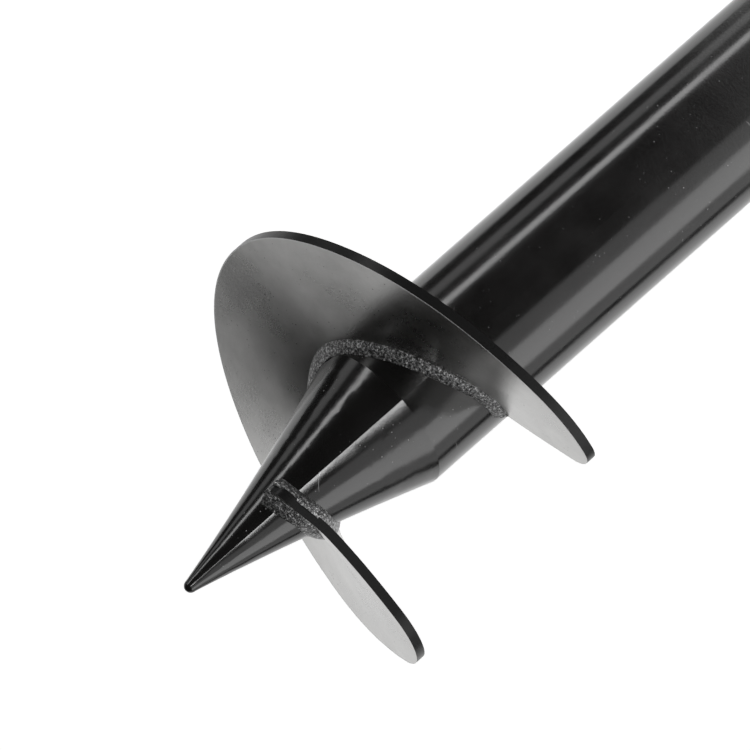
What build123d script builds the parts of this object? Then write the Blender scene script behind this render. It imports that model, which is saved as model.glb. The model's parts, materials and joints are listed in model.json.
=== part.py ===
from build123d import *
from math import cos, floor, radians, sin
import os

# A foundation ground screw, in millimetres: a steel tube swaged to a closed point, with one
# right-hand screw flight welded round the point and the lower end of the tube.
# Everything is drawn with the point at the origin and the axis on +Z, and turned over last:
# the finished screw stands on its square-cut open end.

# ---- driving dimensions ----

# Shaft
screw_length = 1200.0       # point to open top end
tube_outer_diameter = 76.1
tube_wall = 4.0
cone_length = 127.0         # swaged end, from the point to the full tube
cone_hollow = 1.8           # how far the swaged side sinks below a straight taper
point_radius = 3.2          # blunt end of the point
shoulder_radius = 6.0       # soft ridge where the swage begins
cavity_floor = 52.0         # the bore closes this far above the point
top_edge_chamfer = 0.8

# Cross holes for the driving pin
pin_hole_diameter = 18.0
pin_hole_from_top = 50.0
pin_hole_turn = 90.0        # degrees round the axis, from the front

# Flight
flight_radius = 103.0
flight_thickness = 5.0
flight_start_height = 55.0  # underside at the leading edge, above the point
flight_start_turn = -405.0  # degrees round the axis, from the front
trim_clearance = 0.1        # the cutting outlines pass this far outside the rim
flight_end_turn = 48.5      # direction of the trailing edge
# Climb of the underside in each eighth of a turn, from the leading edge on
flight_climbs = (1.5, 5.0, 6.0, 12.5, 19.0, 16.0, 12.0, 9.0, 13.0, 15.0, 6.0)

# Swept leading edge, in plan
leading_edge_offset = 22.9  # distance of the edge's line from the axis
leading_edge_turn = 18.0    # direction of the line's normal
leading_nose_offset = 10.1  # end of the blade beside the point
leading_nose_radius = 9.0
leading_corner_radius = 34.0

# Straight trailing edge, in plan
trailing_edge_offset = 10.9
trailing_corner_radius = 16.0

# Fillet welds
weld_leg = 5.0
weld_crown = 0.7            # bulge of the bead over a flat face
weld_start_turn = -388.0
weld_end_turn = 62.0
weld_toe = 0.25             # height of the bead's edge over the surface it meets
weld_bite = 1.0             # depth of the drawn section behind the surfaces it joins

# ---- derived values ----

tube_outer_radius = tube_outer_diameter / 2
tube_inner_radius = tube_outer_radius - tube_wall
eighth_turn = 45.0
sections_per_eighth = 3
blade_root_radius = 0.6 * leading_nose_offset
plan_reach = flight_radius + flight_thickness


# ---- helpers ----

def flight_height(turn):
    """Height of the flight's underside: a smooth curve through its eighth-turn stations."""
    heights = [flight_start_height]
    for climb in flight_climbs:
        heights.append(heights[-1] + climb)
    place = (turn - flight_start_turn) / eighth_turn
    station = min(max(floor(place), 0), len(heights) - 2)
    part_way = place - station
    before = heights[max(station - 1, 0)]
    low = heights[station]
    high = heights[station + 1]
    after = heights[min(station + 2, len(heights) - 1)]
    slope_in = (high - before) / 2
    slope_out = (after - low) / 2
    return (
        low * (1 + 2 * part_way) * (1 - part_way) ** 2
        + slope_in * part_way * (1 - part_way) ** 2
        + high * part_way**2 * (3 - 2 * part_way)
        - slope_out * part_way**2 * (1 - part_way)
    )


def radial_plane(turn, height):
    """Plane through the axis at one turn: local X points outwards, local Y up the screw."""
    angle = radians(turn)
    return Plane(
        origin=(0, 0, height),
        x_dir=(cos(angle), sin(angle), 0),
        z_dir=(sin(angle), -cos(angle), 0),
    )


def turns_between(first, last):
    """Evenly spaced turns for the sections of a loft."""
    steps = max(round((last - first) / eighth_turn * sections_per_eighth), 1)
    return [first + (last - first) * step / steps for step in range(steps + 1)]


def cone_radius(height):
    """Radius of the shaft's surface at a height above the point."""
    if height >= cone_length:
        return tube_outer_radius
    share = height / cone_length
    straight = point_radius + (tube_outer_radius - point_radius) * share
    return straight - 4 * cone_hollow * share * (1 - share)


# ---- shaft outline, shared by the shaft and by everything that is welded to it ----

cone_middle = cone_length / 2
with BuildPart() as envelope:
    with BuildSketch(Plane.XZ):
        with BuildLine():
            side = ThreePointArc(
                (point_radius, point_radius),
                (cone_radius(cone_middle), cone_middle),
                (tube_outer_radius, cone_length),
            )
            blunt = RadiusArc((0, 0), side @ 0, -point_radius)
            Polyline(side @ 1, (tube_outer_radius, screw_length), (0, screw_length), (0, 0))
        make_face()
    revolve(axis=Axis.Z)
    shoulder = envelope.edges().filter_by(GeomType.CIRCLE).group_by(Axis.Z)[1]
    fillet(shoulder, shoulder_radius)

with BuildPart() as shaft:
    add(envelope.part)
    with BuildSketch(Plane.XZ):
        Polygon(
            (0, cavity_floor),
            (tube_inner_radius, cone_length),
            (tube_inner_radius, screw_length),
            (0, screw_length),
            align=None,
        )
    revolve(axis=Axis.Z, mode=Mode.SUBTRACT)
    top_edges = shaft.edges().filter_by(GeomType.CIRCLE).group_by(Axis.Z)[-1]
    chamfer(top_edges.sort_by(SortBy.RADIUS)[-1], top_edge_chamfer)
    pin_plane = radial_plane(pin_hole_turn + 90, screw_length - pin_hole_from_top)
    with BuildSketch(pin_plane):
        Circle(pin_hole_diameter / 2)
    extrude(amount=tube_outer_diameter, both=True, mode=Mode.SUBTRACT)
shaft.part.label = "shaft"

# ---- flight ----

def cut_blank(plan, low, high):
    """What is cut away between two heights to leave the plan's outline."""
    with BuildPart() as waste:
        with BuildSketch(Plane.XY.offset(low)):
            Circle(plan_reach)
            add(plan.sketch, mode=Mode.SUBTRACT)
        extrude(amount=high - low)
    return waste.part


# Leading edge: a swept line, a round nose beside the point and a round corner at the rim
edge_normal = radians(leading_edge_turn)
nose_x = (leading_edge_offset + leading_nose_offset * sin(edge_normal)) / cos(edge_normal)
with BuildSketch() as leading_plan:
    Circle(flight_radius + trim_clearance)
    with Locations(Plane.XY.rotated((0, 0, leading_edge_turn)).offset(0)):
        with Locations((leading_edge_offset, 0)):
            Rectangle(plan_reach, 3 * plan_reach, align=(Align.MIN, Align.CENTER), mode=Mode.SUBTRACT)
    with Locations((0, -leading_nose_offset)):
        Rectangle(3 * plan_reach, plan_reach, align=(Align.MIN, Align.MAX), mode=Mode.SUBTRACT)
    fillet(leading_plan.vertices().sort_by_distance((nose_x, -leading_nose_offset))[0], leading_nose_radius)
    fillet(leading_plan.vertices().sort_by(Axis.Y)[-1], leading_corner_radius)

# Trailing edge: a straight cut beside the radius, its corner at the rim rounded
with BuildSketch() as trailing_plan:
    Circle(flight_radius + trim_clearance)
    with Locations(Plane.XY.rotated((0, 0, flight_end_turn)).offset(0)):
        with Locations((0, trailing_edge_offset)):
            Rectangle(3 * plan_reach, plan_reach, align=(Align.CENTER, Align.MIN), mode=Mode.SUBTRACT)
    fillet(trailing_plan.vertices().sort_by(Axis.X)[-1], trailing_corner_radius)

loft_end_turn = flight_end_turn + 0.75 * eighth_turn
leading_cut_top = flight_height(flight_start_turn + 4 * eighth_turn) + 2 * flight_thickness
trailing_cut_bottom = flight_height(flight_end_turn - 2 * eighth_turn)
with BuildPart() as helix_flight:
    for turn in turns_between(flight_start_turn, loft_end_turn):
        with BuildSketch(radial_plane(turn, flight_height(turn))):
            with Locations((blade_root_radius, 0)):
                Rectangle(flight_radius - blade_root_radius, flight_thickness, align=Align.MIN)
    loft()
    add(cut_blank(leading_plan, 0, leading_cut_top), mode=Mode.SUBTRACT)
    add(cut_blank(trailing_plan, trailing_cut_bottom, screw_length), mode=Mode.SUBTRACT)
    add(envelope.part, mode=Mode.SUBTRACT)
helix_flight.part.label = "helix_flight"

# ---- fillet welds along the underside and the upper side of the flight ----

def weld_bead(plate_side, away):
    """Bead between shaft and flight: plate_side is the face's place in the plate, away is its way out."""
    with BuildPart() as bead:
        for turn in turns_between(weld_start_turn, weld_end_turn):
            height = flight_height(turn)
            corner_radius = cone_radius(height + plate_side)
            toe_radius = cone_radius(height + plate_side + away * weld_leg)
            crown = weld_leg / 2 + weld_crown * cos(radians(eighth_turn))
            outline = [
                (corner_radius + weld_leg, -away * weld_bite),
                (corner_radius + weld_leg, away * weld_toe),
                ((corner_radius + toe_radius) / 2 + crown, away * crown),
                (toe_radius + weld_toe, away * weld_leg),
                (toe_radius - weld_bite, away * weld_leg),
                (min(corner_radius, toe_radius) - weld_bite, -away * weld_bite),
            ]
            with BuildSketch(radial_plane(turn, height + plate_side)):
                Polygon(*outline[::away], align=None)
        loft()
        add(envelope.part, mode=Mode.SUBTRACT)
        add(helix_flight.part, mode=Mode.SUBTRACT)
    return bead


lower_weld = weld_bead(0, -1)
lower_weld.part.label = "lower_weld"
upper_weld = weld_bead(flight_thickness, 1)
upper_weld.part.label = "upper_weld"

# ---- stand the screw on its open end: that end's centre becomes the origin, the point is up ----

standing_plane = Plane(origin=(0, 0, screw_length), x_dir=(1, 0, 0), z_dir=(0, 0, -1))

os.makedirs("parts", exist_ok=True)
for piece in (shaft.part, helix_flight.part, lower_weld.part, upper_weld.part):
    standing = piece.moved(standing_plane.location)
    standing.label = piece.label
    export_step(standing, f"parts/{piece.label}.step")
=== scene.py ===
import json
import math

import bpy
from mathutils import Matrix, Vector


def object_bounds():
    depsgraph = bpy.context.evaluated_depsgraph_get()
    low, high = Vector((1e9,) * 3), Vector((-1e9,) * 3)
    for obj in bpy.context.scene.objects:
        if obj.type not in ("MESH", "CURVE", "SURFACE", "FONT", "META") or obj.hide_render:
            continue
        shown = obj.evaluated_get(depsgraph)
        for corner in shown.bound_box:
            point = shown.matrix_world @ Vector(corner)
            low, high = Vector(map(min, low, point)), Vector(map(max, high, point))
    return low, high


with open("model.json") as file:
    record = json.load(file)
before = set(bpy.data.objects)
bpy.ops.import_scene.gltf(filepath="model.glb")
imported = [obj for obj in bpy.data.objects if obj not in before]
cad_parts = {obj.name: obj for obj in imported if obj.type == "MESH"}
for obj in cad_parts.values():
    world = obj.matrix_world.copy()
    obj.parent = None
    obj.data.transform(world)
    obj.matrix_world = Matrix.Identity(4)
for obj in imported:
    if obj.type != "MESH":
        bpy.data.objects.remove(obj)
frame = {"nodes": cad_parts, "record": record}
cad_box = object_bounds()

MM = 0.001
SCREW_LENGTH = 1200 * MM
FLIGHT_RADIUS = 103 * MM
PAINTED_RIM_HIGHLIGHT_WIDTH = 0.7 * MM              # width of a painted highlight just inside the flight's rim, standing in for light caught by a rounded edge

# ---- the screw's own axes, read from the record's mounts ----

mounts = {mount["name"]: mount for mount in frame["record"]["mounts"]}
along = Vector(mounts["top_bore"]["axis"]).normalized()
right = Vector(mounts["drive_hole"]["axis"]).normalized()
front = right.cross(along).normalized()
point_tip = Vector(mounts["top_bore"]["pos_m"]) - along * SCREW_LENGTH
screw_turn = Matrix((front, right, along)).to_euler()
floor_level = cad_box[0][2]


def outwards_at(turn):
    """The level direction away from the screw's axis at a turn in degrees, from its front."""
    angle = math.radians(turn)
    return front * math.cos(angle) + right * math.sin(angle)


def placed(name, data):
    """Puts new object data in the scene."""
    thing = bpy.data.objects.new(name, data)
    bpy.context.scene.collection.objects.link(thing)
    return thing


# ---- materials ----

class Nodes:
    """Short names for building the node tree of one material or world."""

    def __init__(self, owner, output_kind):
        self.owner = owner
        owner.use_nodes = True
        self.tree = owner.node_tree
        self.tree.nodes.clear()
        self.output = self.add(output_kind)

    def add(self, kind, inputs=(), **settings):
        node = self.tree.nodes.new("ShaderNode" + kind)
        for key, value in settings.items():
            setattr(node, key, value)
        for key, value in dict(inputs).items():
            self.feed(node.inputs[key], value)
        return node

    def feed(self, socket, value):
        if hasattr(value, "is_output") and value.is_output:
            self.tree.links.new(value, socket)
        elif hasattr(value, "outputs"):
            self.tree.links.new(value.outputs[0], socket)
        else:
            socket.default_value = value

    def ramp(self, factor, stops):
        node = self.add("ValToRGB", {"Fac": factor})
        elements = node.color_ramp.elements
        while len(elements) < len(stops):
            elements.new(0.5)
        for element, (place, tone) in zip(elements, stops):
            element.position = place
            element.color = (*tone, 1) if isinstance(tone, tuple) else (tone, tone, tone, 1)
        return node.outputs[0]

    def math(self, operation, first, second=0.0, third=0.0):
        node = self.add("Math", operation=operation)
        for socket, value in zip(node.inputs, (first, second, third)):
            self.feed(socket, value)
        return node.outputs[0]

    def mix(self, factor, first, grey):
        """Mixes a colour towards a grey."""
        node = self.add("Mix", data_type="RGBA")
        self.feed(node.inputs[0], factor)
        self.feed(node.inputs[6], first)
        self.feed(node.inputs[7], (grey, grey, grey, 1))
        return node.outputs[2]

    def noise(self, place, scale, detail, roughness):
        inputs = {"Vector": place, "Scale": scale, "Detail": detail, "Roughness": roughness}
        return self.add("TexNoise", inputs).outputs[0]

    def bump(self, height, strength, distance, under=None):
        inputs = {"Height": height, "Strength": strength, "Distance": distance}
        if under is not None:
            inputs["Normal"] = under
        return self.add("Bump", inputs).outputs[0]

    def close(self, shader):
        """Ends the tree with its surface shader."""
        self.feed(self.output.inputs["Surface"], shader)
        return self.owner


def new_material(name):
    return Nodes(bpy.data.materials.new(name), "OutputMaterial")


def screw_coordinates(nodes, stretch=(1, 1, 1)):
    """Coordinates in metres with Z along the screw, stretched for grain."""
    position = nodes.add("TexCoord").outputs["Object"]
    turned = nodes.add("Mapping", {"Vector": position, "Rotation": screw_turn})
    return nodes.add("Mapping", {"Vector": turned, "Scale": stretch}).outputs[0]


def patchy_spots(nodes, place, scale, spot, patch_noise, patch):
    """Small round spots that show only inside cloudy patches: spot and patch are soft limits."""
    cells = nodes.add("TexVoronoi", {"Vector": place, "Scale": scale}, feature="F1")
    spots = nodes.ramp(cells.outputs["Distance"], [(spot[0], 1.0), (spot[1], 0.0)])
    gate = nodes.ramp(nodes.noise(place, *patch_noise), [(patch[0], 0.0), (patch[1], 1.0)])
    return nodes.math("MULTIPLY", spots, gate)


def hair_scratches(nodes, place):
    """Thin curved lines where a slow noise passes its middle, inside a few patches."""
    drift = nodes.math("SUBTRACT", nodes.noise(place, 22.0, 1.0, 0.4), 0.5)
    lines = nodes.ramp(nodes.math("ABSOLUTE", drift), [(0.0, 1.0), (0.003, 0.0)])
    gate = nodes.ramp(nodes.noise(place, 38.0, 2.0, 0.6), [(0.66, 0.0), (0.72, 0.6)])
    return nodes.math("MULTIPLY", lines, gate)


def plate_edges(nodes):
    """The plate's narrow edge faces, and a painted highlight line just inside its rim, where a
    rounded edge would catch light.
    """
    facing = nodes.add("NewGeometry").outputs["Normal"]
    lean = nodes.add("VectorMath", {0: facing, 1: tuple(along)}, operation="DOT_PRODUCT")
    turned_away = nodes.math("ABSOLUTE", lean.outputs["Value"])
    edge = nodes.ramp(turned_away, [(0.55, 1.0), (0.7, 0.0)])
    level_place = screw_coordinates(nodes, (1, 1, 0))
    reach = nodes.add("VectorMath", {0: level_place}, operation="LENGTH").outputs["Value"]
    return edge, nodes.math("GREATER_THAN", reach, FLIGHT_RADIUS - PAINTED_RIM_HIGHLIGHT_WIDTH)


TONE_SWING = 0.2                 # how far the base tone drifts up and down over the surface
PIT_TONE = 0.012
# tone of the painted highlight line inside the flight's rim
PAINTED_RIM_HIGHLIGHT_TONE = 0.5
EDGE_TONE = 0.006
COAT_IOR = 1.6
FULL_GLOSS = 0.5
EDGE_GLOSS_LOSS = 0.4


def coated_steel(name, base, metallic, roughness, grain, grain_depth, worn_tone,
                 black_edges=False):
    """Coated steel: satin, with grain, dull patches, dimples, pits, specks and hair scratches."""
    nodes = new_material(name)
    place = screw_coordinates(nodes)
    streaks = nodes.noise(screw_coordinates(nodes, grain), 900.0, 4.0, 0.6)
    clouds = nodes.noise(place, 28.0, 5.0, 0.6)
    dimples = nodes.noise(place, 700.0, 2.0, 0.6)
    pits = patchy_spots(nodes, place, 420.0, (0.08, 0.2), (60.0, 3.0, 0.7), (0.54, 0.64))
    specks = patchy_spots(nodes, place, 300.0, (0.04, 0.11), (45.0, 4.0, 0.75), (0.50, 0.62))
    worn = nodes.math("MAXIMUM", specks, hair_scratches(nodes, place))

    darker = tuple(c * (1 - TONE_SWING) for c in base)
    lighter = tuple(c * (1 + TONE_SWING) for c in base)
    colour = nodes.ramp(clouds, [(0.3, darker), (0.7, lighter)])
    colour = nodes.mix(worn, colour, worn_tone)
    colour = nodes.mix(pits, colour, PIT_TONE)

    patches = nodes.ramp(clouds, [(0.35, 0.0), (0.7, 1.0)])
    dull = nodes.math("MULTIPLY_ADD", patches, 0.06, roughness)
    dull = nodes.math("MULTIPLY_ADD", streaks, 0.05, dull)

    surface = nodes.bump(streaks, grain_depth, 0.0004)
    surface = nodes.bump(dimples, 0.03, 0.0005, surface)
    surface = nodes.bump(pits, -0.25, 0.0005, surface)

    gloss = FULL_GLOSS
    if black_edges:
        edge, painted_rim_highlight = plate_edges(nodes)
        # painted highlight: a bright, non-metallic line just inside the rim, standing in for
        # light caught by a rounded edge
        colour = nodes.mix(painted_rim_highlight, colour, PAINTED_RIM_HIGHLIGHT_TONE)
        colour = nodes.mix(edge, colour, EDGE_TONE)
        metallic = nodes.math("SUBTRACT", 1.0, nodes.math("MAXIMUM", edge, painted_rim_highlight))
        gloss = nodes.math("MULTIPLY_ADD", edge, -EDGE_GLOSS_LOSS, FULL_GLOSS)

    shader = nodes.add(
        "BsdfPrincipled",
        {
            "Base Color": colour,
            "Metallic": metallic,
            "Specular IOR Level": gloss,
            "Roughness": dull,
            "IOR": COAT_IOR,
            "Normal": surface,
        },
    )
    return nodes.close(shader)


def weld_metal(name):
    """Rough bead: stippled dark metal with bright grains."""
    nodes = new_material(name)
    place = screw_coordinates(nodes)
    stipple = nodes.noise(place, 900.0, 4.0, 0.7)
    grains = nodes.noise(place, 260.0, 3.0, 0.6)
    surface = nodes.bump(stipple, 0.7, 0.0006)
    surface = nodes.bump(grains, 1.0, 0.0018, surface)
    shader = nodes.add(
        "BsdfPrincipled",
        {
            "Base Color": nodes.ramp(stipple, [(0.36, 0.02), (0.52, 0.13), (0.68, 0.65)]),
            "Metallic": 0.85,
            "Roughness": nodes.math("MULTIPLY_ADD", stipple, 0.3, 0.25),
            "Normal": surface,
        },
    )
    return nodes.close(shader)


shaft_steel = coated_steel(
    "shaft_steel", base=(0.0045, 0.0043, 0.0041), metallic=0.0, roughness=0.11,
    grain=(1, 1, 0.04), grain_depth=0.012, worn_tone=0.22,
)
blade_steel = coated_steel(
    "blade_steel", base=(0.45, 0.447, 0.44), metallic=1.0, roughness=0.24,
    grain=(0.35, 1, 1), grain_depth=0.16, worn_tone=0.6, black_edges=True,
)
bead_metal = weld_metal("bead_metal")

node_materials = {
    "shaft": shaft_steel,
    "helix_flight": blade_steel,
    "lower_weld": bead_metal,
    "upper_weld": bead_metal,
}
for node_name, material in node_materials.items():
    slots = frame["nodes"][node_name].data.materials
    slots.clear()
    slots.append(material)

# ---- floor ----

FLOOR_REACH = 60.0
FLOOR_GAP = 0.5 * MM
FLOOR_TONE = 0.9
FLOOR_GLOW = 0.75


def glow_for_viewer(nodes, shown, glow):
    """Adds a glow to the plain shader that only the camera, gloss and glass see."""
    path = nodes.add("LightPath")
    looks = nodes.math("MAXIMUM", path.outputs["Is Glossy Ray"],
                       path.outputs["Is Transmission Ray"])
    looks = nodes.math("MAXIMUM", looks, path.outputs["Is Camera Ray"])
    lift = nodes.add("Emission", {"Color": (1, 1, 1, 1), "Strength": glow})
    lit = nodes.add("AddShader", {0: shown, 1: lift})
    return nodes.add("MixShader", {0: looks, 1: shown, 2: lit})


def matt(nodes, tone):
    return nodes.add("BsdfDiffuse", {"Color": (tone, tone, tone, 1)})


bpy.ops.mesh.primitive_plane_add(size=FLOOR_REACH, location=(0, 0, floor_level - FLOOR_GAP))
floor = bpy.context.object
floor.name = "floor"
paper = new_material("floor_paper")
paper_material = paper.close(glow_for_viewer(paper, matt(paper, FLOOR_TONE), FLOOR_GLOW))
floor.data.materials.append(paper_material)

# ---- camera ----

VIEW_FROM_POINT = math.radians(70.1)   # between the screw's point and the way to the camera
SLANT = math.radians(41.32)            # screw's slant in the picture
FRAME_WIDTH = 345.7 * MM
AIM_HEIGHT = 122.1 * MM                # place on the screw's axis, measured from its point
AIM_FURTHER = 15.7 * MM                # from there to the picture's middle, along the shaft seen
AIM_LEFT = 16.85 * MM                  # and to the left of it
LENS = 1000.0
SENSOR = 36.0
CLIP_END = 100.0

to_camera = front * math.sin(VIEW_FROM_POINT) - along * math.cos(VIEW_FROM_POINT)
shaft_in_view = along * math.sin(VIEW_FROM_POINT) + front * math.cos(VIEW_FROM_POINT)
picture_right = shaft_in_view * math.cos(SLANT) + right * math.sin(SLANT)
picture_up = shaft_in_view * math.sin(SLANT) - right * math.cos(SLANT)
picture_middle = (point_tip + along * AIM_HEIGHT
                  + shaft_in_view * AIM_FURTHER - right * AIM_LEFT)

camera_data = bpy.data.cameras.new("camera")
camera_data.lens = LENS
camera_data.sensor_width = SENSOR
camera_data.clip_end = CLIP_END
camera = placed("camera", camera_data)
distance = FRAME_WIDTH * LENS / SENSOR
facing = Matrix((picture_right, picture_up, to_camera)).transposed().to_4x4()
camera.matrix_world = Matrix.Translation(picture_middle + to_camera * distance) @ facing
bpy.context.scene.camera = camera

# ---- light ----

BOX_REACH = 1.5                  # from the screw's axis to the soft boxes
TALL_BOX = (0.05, 1.95)          # heights above the floor
CONE_BOX = (0.95, 1.9)
CARD_REACH = 2.1                 # to the dark card round the front half of the studio
CARD_HEIGHT = 3.0
CARD_FROM, CARD_TO = -121, 117   # turns round the screw that the dark card covers
CARD_STEPS = 48
CARD_TONE = 0.02


def soft_box(name, turn, spread, heights, radiance):
    """An upright soft box that faces the screw, with its angular width and its two heights."""
    bottom, top = heights
    lamp_data = bpy.data.lights.new(name, "AREA")
    lamp_data.shape = "RECTANGLE"
    lamp_data.size = 2 * BOX_REACH * math.tan(math.radians(spread / 2))
    lamp_data.size_y = top - bottom
    lamp_data.energy = radiance * math.pi * lamp_data.size * lamp_data.size_y
    lamp = placed(name, lamp_data)
    lamp.visible_camera = False
    outwards = outwards_at(turn)
    side = (-along).cross(outwards).normalized()
    place = point_tip + outwards * BOX_REACH
    place.z = floor_level + (bottom + top) / 2
    facing = Matrix((side, -along, outwards)).transposed().to_4x4()
    lamp.matrix_world = Matrix.Translation(place) @ facing


soft_box("right_wash", 66, 84, TALL_BOX, 0.8)
soft_box("right_core", 68, 34, TALL_BOX, 1.7)
soft_box("left_strip", -65, 9, TALL_BOX, 4.5)
soft_box("far_left_strip", -92, 15, TALL_BOX, 0.8)
soft_box("cone_strip", 9, 5, CONE_BOX, 13.0)


def dark_card():
    """A dark curved card round the front of the studio, seen only in gloss."""
    corners = []
    for step in range(CARD_STEPS + 1):
        foot = outwards_at(CARD_FROM + (CARD_TO - CARD_FROM) * step / CARD_STEPS) * CARD_REACH
        corners += [(foot.x, foot.y, floor_level), (foot.x, foot.y, floor_level + CARD_HEIGHT)]
    faces = [(2 * i, 2 * i + 2, 2 * i + 3, 2 * i + 1) for i in range(CARD_STEPS)]
    mesh = bpy.data.meshes.new("dark_card")
    mesh.from_pydata(corners, [], faces)
    felt = new_material("dark_felt")
    mesh.materials.append(felt.close(matt(felt, CARD_TONE)))
    card = placed("dark_card", mesh)
    card.visible_camera = False
    card.visible_diffuse = False
    card.visible_shadow = False
    card.visible_transmission = False
    return card


dark_card()

# a white horizon that fades to a dark ceiling, and plain white for the camera
CEILING = [(0.42, 1.0), (0.49, 0.6), (0.55, 0.32), (0.68, 0.08), (0.8, 0.02)]
world = bpy.data.worlds.new("studio")
bpy.context.scene.world = world
studio = Nodes(world, "OutputWorld")
ray_direction = studio.add("TexCoord").outputs["Generated"]
ray_height = studio.add("SeparateXYZ", {0: ray_direction}).outputs["Z"]
surround = studio.add("Background", {"Color": studio.ramp(ray_height, CEILING)})
clear_white = studio.add("Background", {"Color": (1, 1, 1, 1)})
seen_by_camera = studio.add("LightPath").outputs["Is Camera Ray"]
studio.close(studio.add("MixShader", {0: seen_by_camera, 1: surround, 2: clear_white}))

bpy.context.scene.view_settings.view_transform = "Standard"
